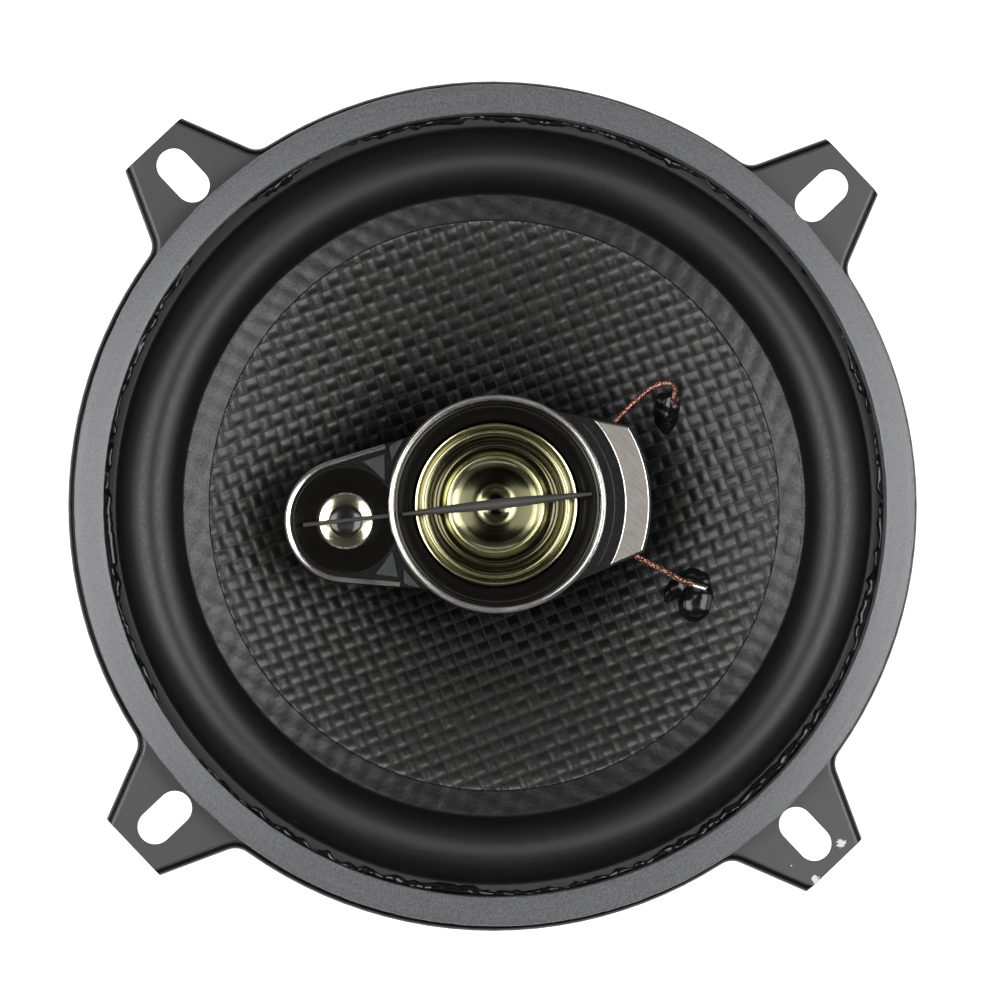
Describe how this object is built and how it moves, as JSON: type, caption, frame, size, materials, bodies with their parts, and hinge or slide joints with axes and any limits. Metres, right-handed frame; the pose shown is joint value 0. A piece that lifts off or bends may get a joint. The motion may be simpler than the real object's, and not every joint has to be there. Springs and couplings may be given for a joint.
{
  "type": "coaxial car speaker",
  "caption": "Round three-way coaxial car speaker with a pressed steel frame, slotted ears, woven cone, half-roll surround and a centre pod with two tweeters.",
  "frame": {"origin": "centre of the four mounting slots, on the back face of the ears", "axes": "+Z the way the sound leaves; +X and +Y through two neighbouring mounting ears"},
  "size_m": [0.1516, 0.1516, 0.0602],
  "materials": {
    "black_paint": "satin black paint over pressed steel",
    "gasket_board": "mid grey compressed board with fine fibres",
    "black_rubber": "matte black rubber",
    "spider_cloth": "resin-dipped woven cloth",
    "plated_steel": "zinc-plated steel",
    "ferrite": "dark grey ground ferrite",
    "cone_weave": "black woven fibre with a resin sheen",
    "former_film": "amber polyimide film",
    "copper": "enamelled copper wire",
    "copper_braid": "bare copper braid",
    "felt": "black felt",
    "black_glue": "glossy black glue",
    "black_plastic": "satin black moulded plastic",
    "bright_trim": "bright plated ring with turned lines",
    "badge_steel": "satin steel, blank",
    "gold_film": "gold-coated formed film",
    "dark_dome": "dark glossy dome",
    "phenolic_board": "brown phenolic board",
    "tinned_brass": "tinned brass",
    "capacitor_sleeve": "dark blue sleeve",
    "neodymium": "nickel-plated magnet"
  },
  "bodies": {
    "frame": {"basket": "black_paint", "gasket": "gasket_board", "surround": "black_rubber", "spider": "spider_cloth", "top_plate": "plated_steel", "magnet": "ferrite", "t_yoke": "plated_steel", "basket_rivets": "plated_steel", "pod_post": "black_plastic", "pod_screw": "plated_steel", "pod_back_cover": "black_plastic", "pod_housing": "black_plastic", "pod_trim_ring": "bright_trim", "pod_trim_small": "bright_trim", "badge_plate": "badge_steel", "pod_solder_tags": "tinned_brass", "front_lead_upper": "copper_braid", "front_lead_lower": "copper_braid", "tweeter_waveguide": "black_plastic", "tweeter_bar": "black_plastic", "tweeter_yoke": "plated_steel", "tweeter_magnet": "neodymium", "tweeter_pole_plate": "plated_steel", "tweeter_capacitor": "capacitor_sleeve", "super_tweeter_horn": "black_plastic", "super_tweeter_bar": "black_plastic", "terminal_board": "phenolic_board", "terminal_positive": "tinned_brass", "terminal_negative": "tinned_brass", "terminal_eyelets": "tinned_brass", "terminal_rivet": "plated_steel", "tinsel_lead_positive": "copper_braid", "tinsel_lead_negative": "copper_braid"},
    "cone_assembly": {"cone": "cone_weave", "voice_coil_former": "former_film", "voice_coil": "copper", "dust_filter": "felt", "lead_glue_upper": "black_glue", "lead_glue_lower": "black_glue"},
    "tweeter_moving": {"tweeter_diaphragm": "gold_film", "tweeter_coil": "copper"},
    "super_tweeter_moving": {"super_tweeter_diaphragm": "gold_film", "super_tweeter_dome": "dark_dome", "piezo_disc": "tinned_brass"}
  },
  "joints": [
    {"name": "cone_travel", "type": "slide", "parent": "frame", "child": "cone_assembly", "axis": [0, 0, 1], "range_m": [-0.003, 0.003], "stiffness_N_per_m": 2000, "deforming": ["surround", "spider", "front_lead_upper", "front_lead_lower", "tinsel_lead_positive", "tinsel_lead_negative"]},
    {"name": "tweeter_travel", "type": "slide", "parent": "frame", "child": "tweeter_moving", "axis": [0, 0, 1], "range_m": [-0.0003, 0.0003], "stiffness_N_per_m": 200},
    {"name": "super_tweeter_travel", "type": "slide", "parent": "frame", "child": "super_tweeter_moving", "axis": [0, 0, 1], "range_m": [-0.0001, 0.0001], "stiffness_N_per_m": 300}
  ]
}
